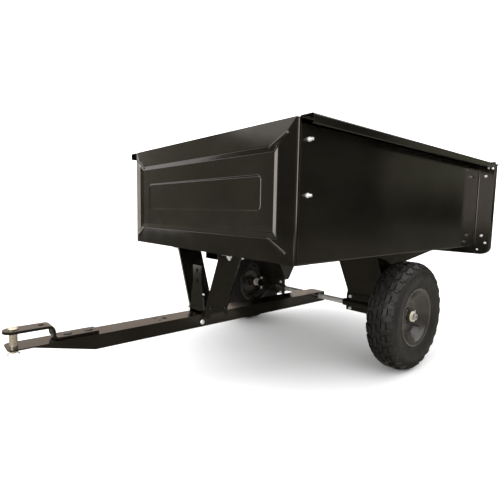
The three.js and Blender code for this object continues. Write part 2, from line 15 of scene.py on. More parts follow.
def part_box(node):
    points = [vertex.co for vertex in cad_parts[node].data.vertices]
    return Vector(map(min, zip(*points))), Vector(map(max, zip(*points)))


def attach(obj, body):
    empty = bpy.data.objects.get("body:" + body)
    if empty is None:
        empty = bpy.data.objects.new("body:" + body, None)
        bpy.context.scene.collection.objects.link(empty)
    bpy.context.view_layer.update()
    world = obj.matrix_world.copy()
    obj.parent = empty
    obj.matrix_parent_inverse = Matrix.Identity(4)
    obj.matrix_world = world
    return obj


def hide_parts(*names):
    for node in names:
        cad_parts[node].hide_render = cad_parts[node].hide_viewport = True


MM = 0.001
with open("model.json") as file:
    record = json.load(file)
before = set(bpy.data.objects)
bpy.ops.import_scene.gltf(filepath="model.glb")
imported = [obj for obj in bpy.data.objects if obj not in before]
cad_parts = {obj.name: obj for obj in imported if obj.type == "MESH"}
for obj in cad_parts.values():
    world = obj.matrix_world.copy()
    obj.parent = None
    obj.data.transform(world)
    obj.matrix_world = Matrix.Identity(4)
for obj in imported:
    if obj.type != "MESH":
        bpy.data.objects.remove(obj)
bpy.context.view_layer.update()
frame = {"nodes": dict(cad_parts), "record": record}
NODES = frame["nodes"]
BODY_OF = {n: b for b, ns in frame["record"]["behaviour"]["bodies"].items() for n in ns}
SLOT_OF = {s["node"]: s["material_slot"] for s in frame["record"]["subparts"]}
SIDES = {"left": -1, "right": 1}


def box(node):
    """A CAD node's lowest and highest corners, in millimetres."""
    low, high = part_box(node)
    return low / MM, high / MM


def middle(node):
    low, high = box(node)
    return (low + high) / 2


# ------------------------------------------------------------------ materials


class Shader:
    """A node material that is written down one node at a time."""

    def __init__(self, name, **constants):
        self.material = bpy.data.materials.new(name)
        self.material.use_nodes = True
        self.tree = self.material.node_tree
        self.principled = self.tree.nodes["Principled BSDF"]
        for socket, value in constants.items():
            self.principled.inputs[socket.replace("_", " ")].default_value = value
        self.where = self.tree.nodes.new("ShaderNodeTexCoord").outputs["Object"]

    def link(self, out, to):
        self.tree.links.new(out, to)

    def noise(self, scale, detail=3.0, stretch=None):
        node = self.tree.nodes.new("ShaderNodeTexNoise")
        node.inputs["Scale"].default_value = scale
        node.inputs["Detail"].default_value = detail
        if stretch is None:
            self.link(self.where, node.inputs["Vector"])
        else:
            mapping = self.tree.nodes.new("ShaderNodeMapping")
            mapping.inputs["Scale"].default_value = stretch
            self.link(self.where, mapping.inputs["Vector"])
            self.link(mapping.outputs["Vector"], node.inputs["Vector"])
        return node.outputs["Fac"]

    def ramp(self, factor, stops):
        """stops are (position, value), a value being a grey level or a colour."""
        node = self.tree.nodes.new("ShaderNodeValToRGB")
        elements = node.color_ramp.elements
        while len(elements) < len(stops):
            elements.new(0.5)
        for element, (position, value) in zip(elements, stops):
            element.position = position
            element.color = (value,) * 3 + (1,) if isinstance(value, float) else (*value, 1)
        self.link(factor, node.inputs["Fac"])
        return node.outputs["Color"]

    def bump(self, height, distance, strength=1.0):
        node = self.tree.nodes.new("ShaderNodeBump")
        node.inputs["Distance"].default_value = distance
        node.inputs["Strength"].default_value = strength
        self.link(height, node.inputs["Height"])
        self.link(node.outputs["Normal"], self.principled.inputs["Normal"])

    def drive(self, socket, out):
        self.link(out, self.principled.inputs[socket])


def powder_coat():
    """Gloss black powder coat: a warm black with a faint orange-peel skin."""
    shader = Shader("black_powder_coat", Specular_IOR_Level=0.5, Specular_Tint=(1.0, 0.93, 0.86, 1.0))
    mottle = shader.noise(9.0, 4.0)
    tones = [(0.35, (0.0045, 0.0040, 0.0030)), (0.7, (0.0075, 0.0067, 0.0050))]
    shader.drive("Base Color", shader.ramp(mottle, tones))
    cloud = shader.noise(24.0, 5.0)
    shader.drive("Roughness", shader.ramp(cloud, [(0.3, 0.11), (0.75, 0.17)]))
    shader.bump(shader.noise(330.0, 2.0), 0.00005, 0.05)
    return shader.material


def rim_paint_lit():
    """The rims' black paint, a little greyer than the powder coat: painted light that stands in for the light
    the dish catches.
    """
    shader = Shader("rim_black_paint_lit", Specular_IOR_Level=0.6)
    tones = [(0.3, (0.022, 0.019, 0.016)), (0.7, (0.034, 0.030, 0.026))]
    shader.drive("Base Color", shader.ramp(shader.noise(20.0, 4.0), tones))
    shader.drive("Roughness", shader.ramp(shader.noise(40.0, 4.0), [(0.3, 0.16), (0.7, 0.28)]))
    return shader.material


def zinc(name, low, high):
    """Plated fasteners: a slightly blotchy bright metal."""
    shader = Shader(name, Metallic=0.55)
    shader.drive("Base Color", shader.ramp(shader.noise(120.0, 4.0), [(0.3, low), (0.7, high)]))
    shader.drive("Roughness", shader.ramp(shader.noise(260.0, 3.0), [(0.3, 0.22), (0.7, 0.38)]))
    shader.bump(shader.noise(900.0, 2.0), 0.00003, 0.6)
    return shader.material


def drawn_steel():
    """Bare cold-drawn bar, with fine lines along X and a few dark oil stains."""
    shader = Shader("drawn_steel", Metallic=0.45)
    stain = shader.noise(18.0, 5.0)
    shader.drive("Base Color", shader.ramp(stain, [(0.35, (0.32, 0.30, 0.27)), (0.6, (0.62, 0.60, 0.57))]))
    lines = shader.noise(60.0, 3.0, (1.0, 24.0, 24.0))
    shader.drive("Roughness", shader.ramp(lines, [(0.3, 0.24), (0.7, 0.44)]))
    shader.bump(lines, 0.00004, 0.5)
    return shader.material


def tyre_rubber():
    """Moulded rubber: warm dark grey with a dusty bloom and a fine grain."""
    shader = Shader("tyre_rubber", Specular_IOR_Level=0.3)
    bloom = shader.noise(14.0, 6.0)
    tones = [(0.3, (0.008, 0.0068, 0.0058)), (0.75, (0.018, 0.0154, 0.0131))]
    shader.drive("Base Color", shader.ramp(bloom, tones))
    shader.drive("Roughness", shader.ramp(shader.noise(70.0, 4.0), [(0.3, 0.42), (0.7, 0.58)]))
    shader.bump(shader.noise(650.0, 3.0), 0.00010, 0.5)
    return shader.material


def oiled_spring():
    """Spring wire, dark with oil."""
    shader = Shader("oiled_spring", Metallic=0.8)
    tones = [(0.3, (0.03, 0.03, 0.03)), (0.7, (0.09, 0.09, 0.085))]
    shader.drive("Base Color", shader.ramp(shader.noise(200.0), tones))
    shader.drive("Roughness", shader.ramp(shader.noise(300.0), [(0.3, 0.3), (0.7, 0.5)]))
    return shader.material


def soft_rubber():
    shader = Shader("soft_rubber", Specular_IOR_Level=0.4)
    tones = [(0.3, (0.010, 0.010, 0.010)), (0.7, (0.018, 0.017, 0.016))]
    shader.drive("Base Color", shader.ramp(shader.noise(60.0), tones))
    shader.drive("Roughness", shader.ramp(shader.noise(90.0), [(0.3, 0.5), (0.7, 0.7)]))
    shader.bump(shader.noise(700.0), 0.00005, 0.4)
    return shader.material


def nylon():
    """Moulded cream nylon with greasy smears."""
    shader = Shader("cream_nylon", Subsurface_Weight=0.08)
    smear = shader.noise(45.0, 5.0)
    shader.drive("Base Color", shader.ramp(smear, [(0.3, (0.42, 0.31, 0.17)), (0.6, (0.68, 0.56, 0.38))]))
    shader.drive("Roughness", shader.ramp(smear, [(0.3, 0.3), (0.7, 0.5)]))
    shader.bump(shader.noise(500.0), 0.00004, 0.4)
    return shader.material


MATERIALS = {
    "black_paint": powder_coat(),
    "bare_steel": drawn_steel(),
    "zinc": zinc("bright_zinc", (0.60, 0.60, 0.58), (0.85, 0.85, 0.83)),
    "yellow_zinc": zinc("yellow_zinc", (0.36, 0.30, 0.21), (0.56, 0.49, 0.38)),
    "tyre_rubber": tyre_rubber(),
    "black_rubber": soft_rubber(),
    "cream_nylon": nylon(),
}


# A lighter copy of the black paint for the rims: painted light for the light their dishes catch.
LIT_RIM_PAINT = rim_paint_lit()
OILED_SPRING = oiled_spring()


# ------------------------------------------------------------- mesh tool kit


def rounded(points, setback, steps=4, closed=False):
    """A line of 2D points with each corner turned into a curve of that setback."""
    points = [Vector(p) for p in points]
    result = []
    for i, corner in enumerate(points):
        if not closed and i in (0, len(points) - 1):
            result.append(corner)
            continue
        before = points[i - 1] - corner
        after = points[(i + 1) % len(points)] - corner
        reach = min(setback, 0.49 * before.length, 0.49 * after.length)
        start = corner + before.normalized() * reach
        end = corner + after.normalized() * reach
        for k in range(steps + 1):
            t = k / steps
            result.append(start * (1 - t) ** 2 + corner * 2 * t * (1 - t) + end * t * t)
    return result


def thickened(line, thickness):
    """The closed outline of a sheet whose middle follows a line of 2D points."""
    sides = []
    for i, point in enumerate(line):
        ahead = (line[min(i + 1, len(line) - 1)] - point).normalized()
        behind = (point - line[max(i - 1, 0)]).normalized()
        along = (ahead + behind).normalized()
        across = Vector((-along.y, along.x))
        stretch = 1 / max(0.5, along.dot(ahead if ahead.length else behind))
        sides.append((point + across * thickness / 2 * stretch, point - across * thickness / 2 * stretch))
    return [a for a, _ in sides] + [b for _, b in reversed(sides)]


def spread(flat, axis, place):
    """A 2D point at a place along an axis; its two values go to the other axes in order."""
    a, b = flat
    return {"x": Vector((place, a, b)), "y": Vector((a, place, b)), "z": Vector((a, b, place))}[axis]


def loft(bm, rings, caps=True, closed=False):
    """Skins a row of rings that have the same number of points."""
    rows = [[bm.verts.new(p) for p in ring] for ring in rings]
    pairs = list(zip(rows, rows[1:])) + ([(rows[-1], rows[0])] if closed else [])
    for low, high in pairs:
        for i in range(len(low)):
            j = (i + 1) % len(low)
            bm.faces.new((low[i], low[j], high[j], high[i]))
    if caps and not closed:
        bm.faces.new(rows[0])
        bm.faces.new(rows[-1])


def prism(bm, outline, axis, low, high):
    loft(bm, [[spread(p, axis, place) for p in outline] for place in (low, high)])


def lathe(bm, profile, centre, axis="x", steps=64, closed=False):
    """Turns (along, radius) points about an axis. A closed profile makes a ring."""
    centre = Vector(centre)
    rings = []
    for k in range(steps):
        angle = 2 * math.pi * k / steps
        ring = []
        for along, radius in profile:
            flat = (radius * math.cos(angle), radius * math.sin(angle))
            ring.append(centre + spread(flat, axis, along))
        rings.append(ring)
    rows = [[bm.verts.new(p) for p in ring] for ring in rings]
    count = len(profile)
    for k in range(steps):
        here, there = rows[k], rows[(k + 1) % steps]
        for i in range(count if closed else count - 1):
            j = (i + 1) % count
            bm.faces.new((here[i], here[j], there[j], there[i]))
    if not closed:
        bmesh.ops.remove_doubles(bm, verts=bm.verts, dist=1e-5)


def wire(bm, path, radius, sides=10):
    """A round wire with flat ends along 3D points."""
    path = [Vector(p) for p in path]
    rings = []
    side = None
    for i, point in enumerate(path):
        along = (path[min(i + 1, len(path) - 1)] - path[max(i - 1, 0)]).normalized()
        if side is None:
            side = along.orthogonal().normalized()
        side = (side - along * side.dot(along)).normalized()
        other = along.cross(side)
        rings.append([
            point + (side * math.cos(a) + other * math.sin(a)) * radius
            for a in (2 * math.pi * k / sides for k in range(sides))
        ])
    loft(bm, rings)


def smooth_path(points, steps):
    """A Catmull-Rom curve through 3D points."""
    points = [Vector(p) for p in points]
    ends = [2 * points[0] - points[1]] + points + [2 * points[-1] - points[-2]]
    result = []
    for a, b, c, d in zip(ends, ends[1:], ends[2:], ends[3:]):
        for k in range(steps):
            t = k / steps
            result.append(0.5 * (2 * b + (c - a) * t + (2 * a - 5 * b + 4 * c - d) * t * t
                                 + (3 * b - a - 3 * c + d) * t ** 3))
    return result + [points[-1]]


def soften(piece, sharp):
    """Smooth shading that keeps broad faces flat and breaks at sharp edges."""
    piece.data.set_sharp_from_angle(angle=math.radians(sharp))
    apply_modifier(piece, "WEIGHTED_NORMAL", keep_sharp=True)


def finish_mesh(name, bm, slot, body, nodes=(), sharp=32, in_metres=False):
    """Makes the piece, gives it its finish, and lets it stand for its CAD nodes."""
    bmesh.ops.recalc_face_normals(bm, faces=bm.faces)
    if not in_metres:
        bmesh.ops.scale(bm, vec=(MM, MM, MM), verts=bm.verts)
    mesh = bpy.data.meshes.new(name)
    bm.to_mesh(mesh)
    bm.free()
    mesh.polygons.foreach_set("use_smooth", [True] * len(mesh.polygons))
    mesh.materials.append(MATERIALS[slot])
    piece = bpy.data.objects.new(name, mesh)
    bpy.context.scene.collection.objects.link(piece)
    soften(piece, sharp)
    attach(piece, body)
    if nodes:
        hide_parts(*nodes)
    return piece


def stand_for(node, bm, sharp=32):
    return finish_mesh(f"{node}_form", bm, SLOT_OF[node], BODY_OF[node], [node], sharp)


def eased(node, width, segments=2, sharp=32):
    """The node's own shape with its sharp edges rounded over by width."""
    bm = bmesh.new()
    bm.from_mesh(NODES[node].data)
    bmesh.ops.remove_doubles(bm, verts=bm.verts, dist=2e-6)
    bmesh.ops.dissolve_limit(bm, angle_limit=math.radians(0.6), verts=bm.verts, edges=bm.edges)
    edges = [e for e in bm.edges if len(e.link_faces) == 2 and e.calc_face_angle(0) > math.radians(38)]
    bmesh.ops.bevel(
        bm, geom=edges, offset=width * MM, segments=segments, affect="EDGES", profile=0.5, clamp_overlap=True
    )
    return finish_mesh(f"{node}_form", bm, SLOT_OF[node], BODY_OF[node], [node], sharp, in_metres=True)


def drill(piece, holes):
    """Cuts round holes: each is (axis, radius, centre, depth) in millimetres."""
    bm = bmesh.new()
    angles = [2 * math.pi * k / 24 for k in range(24)]
    for axis, radius, centre, depth in holes:
        ring = [(radius * math.cos(a), radius * math.sin(a)) for a in angles]
        at = Vector(centre)
        rings = [[at + spread(p, axis, side * depth / 2) for p in ring] for side in (-1, 1)]
        loft(bm, rings)
    bmesh.ops.recalc_face_normals(bm, faces=bm.faces)
    bmesh.ops.scale(bm, vec=(MM, MM, MM), verts=bm.verts)
    mesh = bpy.data.meshes.new("drill")
    bm.to_mesh(mesh)
    bm.free()
    tool = bpy.data.objects.new("drill", mesh)
    bpy.context.scene.collection.objects.link(tool)
    apply_modifier(piece, "BOOLEAN", operation="DIFFERENCE", object=tool, solver="EXACT")
    bpy.data.objects.remove(tool)
    soften(piece, 32)


def apply_modifier(piece, kind, **settings):
    modifier = piece.modifiers.new(kind.lower(), kind)
    for key, value in settings.items():
        setattr(modifier, key, value)
    bpy.context.view_layer.update()
    evaluated = piece.evaluated_get(bpy.context.evaluated_depsgraph_get())
    mesh = bpy.data.meshes.new_from_object(evaluated)
    piece.modifiers.remove(modifier)
    piece.data = mesh


# ---------------------------------------------------------------- front panel

SHEET = 1.6
BEND = 7.0                   # radius of the panel's two upright corners
RIDGE_HEIGHT = 9.0           # how far the pressed ridge stands proud of the panel's edges
FIELD_HEIGHT = 4.4           # and the flat field inside it
LABEL_HEIGHT = 2.0           # and the plain sunk rectangle in the field
MITRE_RADIUS = 5.5           # half the width of the beads across the panel's corners
MITRE_RISE = 4.8             # half their depth, front to back


def frame_ring(half, low, high, corner, height, edge, steps=5):
    """A rectangle with round corners in the plane at height in front of edge."""
    ring = []
    centres = ((half - corner, high - corner), (corner - half, high - corner),
               (corner - half, low + corner), (half - corner, low + corner))
    for quarter, (x, z) in enumerate(centres):
        for k in range(steps + 1):
            angle = math.pi / 2 * (quarter + k / steps)
            ring.append(Vector((x + corner * math.cos(angle), edge - height, z + corner * math.sin(angle))))
    return ring


def pressed_bead(bm, a, b, radius, rise):
    """A raised bead with round ends, flattened to rise."""
    a, b = Vector(a), Vector(b)
    along = (b - a).normalized()
    across = along.cross(Vector((0, 1, 0))).normalized()
    length = (b - a).length
    angles = [math.pi / 2 * k / 6 for k in range(7)]
    stations = [(-radius * math.cos(t), math.sin(t)) for t in angles[1:]]
    stations += [(length + radius * math.sin(t), math.cos(t)) for t in angles[:-1]]
    rings = []
    for reach, swell in stations:
        centre = a + along * reach
        ring = []
        for k in range(20):
            angle = 2 * math.pi * k / 20
            offset = across * radius * math.cos(angle) + Vector((0, rise * math.sin(angle), 0))
            ring.append(centre + offset * swell)
        rings.append(ring)
    loft(bm, rings)


def front_panel():
    low, high = box("front_panel")
    edge = high.y - 40 + SHEET / 2
    half = high.x
    sides = [
        (half - BEND, low.z, high.z, 0.5, 0),
        (half - 50, low.z + 54, high.z - 53, 5, RIDGE_HEIGHT),
        (half - 66, low.z + 66.5, high.z - 65.5, 4, FIELD_HEIGHT),
        (273, low.z + 113, high.z - 111, 13, FIELD_HEIGHT),
        (267, low.z + 119, high.z - 117, 9, LABEL_HEIGHT),
    ]
    bm = bmesh.new()
    loft(bm, [frame_ring(*values, edge) for values in rounded(sides, 3.0, 4)], caps=False)
    centre = frame_ring(*rounded(sides, 3.0, 4)[-1], edge)
    bm.faces.new([bm.verts.new(p) for p in centre])
    bmesh.ops.remove_doubles(bm, verts=bm.verts, dist=1e-4)
    piece = finish_mesh("front_panel_form", bm, "black_paint", "bed", ["front_panel"], sharp=60)
    apply_modifier(piece, "SOLIDIFY", thickness=SHEET * MM, offset=0)
    soften(piece, 60)
    trim = bmesh.new()
    for sign in SIDES.values():
        outer = half - SHEET / 2
        turn = rounded([(half - BEND - 1, edge), (outer, edge), (outer, high.y)], BEND, 8)
        prism(trim, [(sign * x, y) for x, y in thickened(turn, SHEET)], "z", low.z, high.z - 4)
        for z_in, z_out in ((high.z - 56, high.z - 32), (low.z + 52, low.z + 24)):
            inner_end = (sign * (half - 75), edge - 6.0, z_in)
            outer_end = (sign * (half - 28), edge - 5.0, z_out)
            pressed_bead(trim, inner_end, outer_end, MITRE_RADIUS, MITRE_RISE)
    for z, depth, lip in ((low.z + SHEET / 2, 24, 1), (high.z - SHEET / 2, 14, -1)):
        line = rounded([(edge + 0.4, z + lip * 9), (edge + 0.4, z), (edge + depth, z)], 3)
        prism(trim, thickened(line, SHEET * 0.8), "x", -half + 6, half - 6)
    finish_mesh("front_panel_trim", trim, "black_paint", "bed", sharp=50)


# ------------------------------------------------------- side panels and rail

REAR_FLANGE = 34.0           # how far the side panel's rear edge is turned out


def side_panels():
    for side, sign in SIDES.items():
        node = f"side_panel_{side}"
        low, high = box(node)
        outer = max(abs(low.x), abs(high.x))
        wall = outer - 36
        front, rear = low.y, high.y
        mid = SHEET / 2
        bm = bmesh.new()
        wall_line = rounded([
            (wall - 25, low.z + mid), (wall - mid, low.z + mid), (wall - mid, high.z - mid - 0.2),
        ], 4)
        prism(bm, [(sign * x, z) for x, z in thickened(wall_line, SHEET)], "y", front + 4, rear - mid)
        rail_line = rounded([
            (wall - mid, high.z - 14), (wall - mid, high.z - mid),
            (outer - mid, high.z - mid), (outer - mid, high.z - 20), (outer - 5, high.z - 20),
        ], 4.5, 5)
        prism(bm, [(sign * x, z) for x, z in thickened(rail_line, SHEET)], "y", front, rear)
        flange = rounded([
            (wall - mid, rear - 40), (wall - mid, rear - mid), (wall + REAR_FLANGE, rear - mid),
        ], 4)
        ring = thickened(flange, SHEET * 0.98)
        rings = []
        for z, trim in ((low.z + 0.2, 14), (low.z + 14, 0), (high.z - 4, 0)):
            rings.append([Vector((sign * min(x, wall + REAR_FLANGE - trim), y, z)) for x, y in ring])
        loft(bm, rings)
        stand_for(node, bm)


# ------------------------------------------------------------------ fasteners

# radius, head radius, head height, nut height, stud beyond the nut
BOLT_SIZES = {
    "m8": (4.0, 7.5, 5.5, 6.5, 6.0),
    "m6": (3.0, 5.6, 4.2, 5.0, 4.0),
    "side": (3.2, 5.4, 4.0, 5.0, 7.5),
    "tail": (3.0, 5.0, 2.2, 5.0, 7.5),
    "pivot": (4.0, 7.0, 4.5, 5.0, 2.0),
    "strap": (4.0, 9.5, 3.2, 6.5, 6.0),
}
THREAD_PITCH = 1.25
CHAMFER = 0.9                # height of the chamfer on a hexagon's outer face
CHAMFERED = 0.82             # and the face's share of the full width
NUT_TURN = 0.4               # radians that a nut is turned from its head
QUARTER = [math.pi / 16 * k for k in range(9)]    # angles of a dome's profile


def bolt(bm, axis, start, end, at, size, domed=False):
    """A bolt along an axis, with its head's top at start and its thread's end at end."""
    radius, head, head_high, nut_high, stud = BOLT_SIZES[size]
    way = 1 if end > start else -1
    at = Vector(at)

    def hexagon(place, reach, turn=0.0):
        angles = [turn + math.pi * k / 3 for k in range(6)]
        corners = [(reach * math.cos(a), reach * math.sin(a)) for a in angles]
        return [at + spread(p, axis, place) for p in corners]

    bearing = start + way * head_high
    nut_end = end - way * stud
    nut_start = nut_end - way * nut_high
    if domed:
        arc = [(start + way * head_high * (1 - math.cos(a)), head * math.sin(a))
               for a in (math.pi / 2 * k / 8 for k in range(9))]
        lathe(bm, arc + [(bearing, 0)], at, axis, 24)
    else:
        loft(bm, [
            hexagon(start, head * CHAMFERED),
            hexagon(start + way * CHAMFER, head),
            hexagon(bearing, head),
        ])
    loft(bm, [
        hexagon(nut_start, head, NUT_TURN),
        hexagon(nut_end - way * CHAMFER, head, NUT_TURN),
        hexagon(nut_end, head * CHAMFERED, NUT_TURN),
    ])
    thread = [(bearing - way, 0), (bearing - way, radius), (nut_end - way, radius)]
    turns = int(stud / THREAD_PITCH)
    for k in range(turns):
        base = nut_end + way * k * THREAD_PITCH
        thread += [(base, radius * 0.86), (base + way * THREAD_PITCH / 2, radius)]
    thread += [(end - way * 0.5, radius * 0.86), (end, radius * 0.7), (end, 0)]
    lathe(bm, thread, at, axis, 20)


def bolt_node(node, axis, head_at_low, size, domed=False):
    low, high = box(node)
    index = "xyz".index(axis)
    ends = (low[index], high[index]) if head_at_low else (high[index], low[index])
    centre = middle(node)
    centre[index] = 0
    bm = bmesh.new()
    bolt(bm, axis, *ends, centre, size, domed)
    stand_for(node, bm)


def cross_pin(node):
    """A pin between the legs, riveted over outside them under the paint."""
    at = middle(node)
    at.x = 0
    reach = box(node)[1].x - 9
    pin = bmesh.new()
    lathe(pin, [(-reach, 0), (-reach, 4), (reach, 4), (reach, 0)], at, "x", 20)
    stand_for(node, pin)
    rivets = bmesh.new()
    for sign in (-1, 1):
        dome = [(sign * (reach - 2.5 + 3.2 * math.sin(t)), 6.5 * math.cos(t)) for t in QUARTER]
        lathe(rivets, dome, at, "x", 20)
    finish_mesh(f"{node}_rivets", rivets, "black_paint", BODY_OF[node])


def fasteners():
    for end in ("front", "rear"):
        bolt_node(f"strap_bolt_{end}", "z", False, "strap", domed=True)
    bolt_node("latch_pivot_bolt", "x", False, "pivot", domed=True)
    for node in ("catch_bolt", "stop_bolt"):
        cross_pin(node)
    for side, sign in SIDES.items():
        for place in ("low", "high"):
            bolt_node(f"front_bolt_{side}_{place}", "x", sign > 0, "side")
            bolt_node(f"tail_bolt_{side}_{place}", "y", False, "tail", domed=True)
        for column in ("inner", "outer"):
            for place in ("low", "high"):
                bolt_node(f"clamp_bolt_{side}_{column}_{place}", "y", True, "m6")


def small_screws():
    """Round-headed screws of the tail frame, and the stud that holds the latch spring."""
    low, high = box("tail_frame")
    bed_low, bed_high = box("front_panel")
    dome = [(-4.0 * math.cos(t), 4.4 * math.sin(t)) for t in QUARTER]
    screws = [
        (13, bed_high.z - 24), (27, bed_high.z - 21.5),
        (20, bed_low.z + 14), (45, bed_low.z - 12),
    ]
    for sign in SIDES.values():
        bm = bmesh.new()
        for inset, z in screws:
            x = sign * (high.x - inset)
            lathe(bm, dome, (x, low.y - 0.2, z), "y", 20)
        finish_mesh(f"tail_screws_{'left' if sign < 0 else 'right'}", bm, "zinc", "bed")
    spring_low, spring_high = box("latch_spring")
    stud = bmesh.new()
    lever = box("latch_lever")[1].x
    at = (0, (spring_low.y + spring_high.y) / 2, spring_high.z + 5)
    profile = [(lever - 2, 0), (lever - 2, 2.6), (lever + 3.5, 2.6), (lever + 4.5, 1.8), (lever + 4.5, 0)]
    lathe(stud, profile, at, "x", 20)
    finish_mesh("spring_stud", stud, "zinc", "latch")


def leg_bolts():
    """The bolts that hold each leg's top flange to the floor, two a side."""
    floor = box("bed_floor")[1].z
    for side in SIDES:
        low, high = box(f"latch_leg_{side}")
        out = low.x + 15 if side == "left" else high.x - 15
        for place, y in (("front", low.y + 17), ("rear", high.y - 17)):
            bm = bmesh.new()
            stud_end = high.z - 3 - BOLT_SIZES["m8"][3] - BOLT_SIZES["m8"][4]
            bolt(bm, "z", floor + 3.5, stud_end, (out, y, 0), "m8", domed=True)
            finish_mesh(f"leg_bolt_{side}_{place}", bm, "zinc", "bed")


# --------------------------------------------------------- hitch and running gear


PIN_RADIUS = 7.9             # the hitch pin, which has no cross-hole for its clip here


def hitch_strap():
    low, high = box("hitch_strap")
    pin = middle("hitch_pin")
    half = high.x
    thick = 6.0
    drop = pin.y + 74
    top, foot = high.z - thick / 2, low.z + thick / 2
    line = rounded([(pin.y, top), (drop, top), (drop + 2, foot), (high.y, foot)], 11, 8)
    bm = bmesh.new()
    prism(bm, thickened(line, thick), "x", -half, half)
    piece = stand_for("hitch_strap", bm)
    nose = bmesh.new()
    angles = [math.pi + math.pi * k / 24 for k in range(25)]
    arc = [(half * math.cos(a), pin.y + half * math.sin(a)) for a in angles]
    prism(nose, arc, "z", top - thick / 2, top + thick / 2)
    nose_mesh = bpy.data.meshes.new("nose")
    bmesh.ops.recalc_face_normals(nose, faces=nose.faces)
    bmesh.ops.scale(nose, vec=(MM, MM, MM), verts=nose.verts)
    bmesh.ops.translate(nose, vec=(0, 0.01 * MM, 0), verts=nose.verts)
    nose.to_mesh(nose_mesh)
    nose.free()
    tool = bpy.data.objects.new("nose", nose_mesh)
    bpy.context.scene.collection.objects.link(tool)
    apply_modifier(piece, "BOOLEAN", operation="UNION", object=tool, solver="EXACT")
    bpy.data.objects.remove(tool)
    drill(piece, [
        ("z", PIN_RADIUS + 0.65, (0, pin.y, top), 30),
        ("z", 6.0, (0, pin.y + 53, top), 30),
    ])
    apply_modifier(piece, "BEVEL", width=0.7 * MM, segments=2,
                   limit_method="ANGLE", angle_limit=math.radians(40))
    soften(piece, 32)


def hitch_pin():
    low, high = box("hitch_pin")
    at = (0, middle("hitch_pin").y, 0)
    radius = PIN_RADIUS
    head = high.x
    seat = high.z - 4.2
    profile = [
        (low.z, 0), (low.z, radius - 2), (low.z + 2, radius), (seat, radius), (seat, head - 0.6),
        (seat + 0.6, head), (seat + 1.6, head), (seat + 3.2, head - 2), (high.z, head - 5), (high.z, 0),
    ]
    bm = bmesh.new()
    lathe(bm, profile, at, "z", 40)
    stand_for("hitch_pin", bm)


def hairpin():
    """A wire clip: a straight leg through the pin and a bow that droops round it."""
    low, high = box("hairpin_clip")
    pin = middle("hitch_pin")
    level = (low.z + high.z) / 2
    radius = 11.4
    leg = [Vector((x, pin.y, level)) for x in (-10, -5, 0, 6)]
    bow = []
    for k in range(18):
        angle = math.radians(10 + 17 * k)
        droop = 9.0 * min(1.0, k / 3)
        bow.append(Vector((radius * math.cos(angle), pin.y - 0.6 + radius * math.sin(angle), level - droop)))
    bm = bmesh.new()
    wire(bm, smooth_path(leg + bow, 4), 1.0, 12)
    stand_for("hairpin_clip", bm)


def latch_spring():
    """An extension spring with a hook at each end."""
    low, high = box("latch_spring")
    centre = (low + high) / 2
    radius, gauge, turns, steps = 2.0, 0.55, 22, 14
    path = []
    for k in range(turns * steps + 1):
        angle = 2 * math.pi * k / steps
        lift = (k / (turns * steps)) * (high.z - low.z - 8) + low.z + 4
        lean = (lift - centre.z) / (high.z - low.z) * -4
        path.append((centre.x + radius * math.cos(angle), centre.y + lean + radius * math.sin(angle), lift))
    bm = bmesh.new()
    wire(bm, path, gauge, 6)
    for end, way in ((low.z + 4, -1), (high.z - 4, 1)):
        lean = (end - centre.z) / (high.z - low.z) * -4
        hook = [(centre.x + 1.6 * math.sin(a), centre.y + lean, end + way * (2 - 2 * math.cos(a)))
                for a in (math.pi * k / 10 for k in range(11))]
        wire(bm, hook, gauge, 6)
    piece = stand_for("latch_spring", bm)
    piece.data.materials[0] = OILED_SPRING


def turned_bits():
    """Axle, spacers, washers, bushes, cotter pins and valve stems."""
    low, high = box("axle")
    centre = middle("axle")
    at = (0, centre.y, centre.z)
    radius = (high.z - low.z) / 2
    bm = bmesh.new()
    hollow = 12.0
    end = [(hollow, 6.3), (0, 6.3), (0, radius - 1.0), (1.0, radius)]
    lathe(bm, [(low.x + hollow, 0), *[(low.x + x, r) for x, r in end],
               *[(high.x - x, r) for x, r in reversed(end)], (high.x - hollow, 0)], at, "x", 40)
    stand_for("axle", bm)
    bore = radius + 0.3
    for side, sign in SIDES.items():
        for node, ease, inset in ((f"axle_spacer_{side}", 0.8, 0), (f"axle_washer_{side}", 0.4, 5.5)):
            low, high = box(node)
            outer = (high.z - low.z) / 2 - inset
            ring = [(low.x, bore), (high.x, bore), (high.x, outer - ease), (high.x - ease, outer),
                    (low.x + ease, outer), (low.x, outer - ease)]
            bm = bmesh.new()
            lathe(bm, ring, at, "x", 40, closed=True)
            stand_for(node, bm)
        for end, way in (("outer", sign), ("inner", -sign)):
            node = f"bush_{end}_{side}"
            low, high = box(node)
            outer = (high.z - low.z) / 2
            tip, root = (high.x, low.x) if way > 0 else (low.x, high.x)
            ring = [(root, bore), (tip, bore), (tip, bore + 1.4), (tip - way * 0.8, outer - 0.6),
                    (tip - way * 1.4, outer), (tip - way * 2.5, outer), (tip - way * 2.5, 12.5), (root, 12.5)]
            bm = bmesh.new()
            lathe(bm, ring, at, "x", 40, closed=True)
            stand_for(node, bm)
        cotter_pin(side)
        low, high = box(f"valve_stem_{side}")
        valve = middle(f"valve_stem_{side}")
        tip, root = (high.x, low.x) if sign > 0 else (low.x, high.x)
        stem = [(root, 0), (root, 3.9), (root + sign * 9, 3.9), (root + sign * 11, 2.6),
                (root + sign * 22, 2.6), (root + sign * 22, 3.3), (tip - sign, 3.3), (tip, 2.4), (tip, 0)]
        bm = bmesh.new()
        lathe(bm, stem, (0, valve.y, valve.z), "x", 20)
        stand_for(f"valve_stem_{side}", bm)


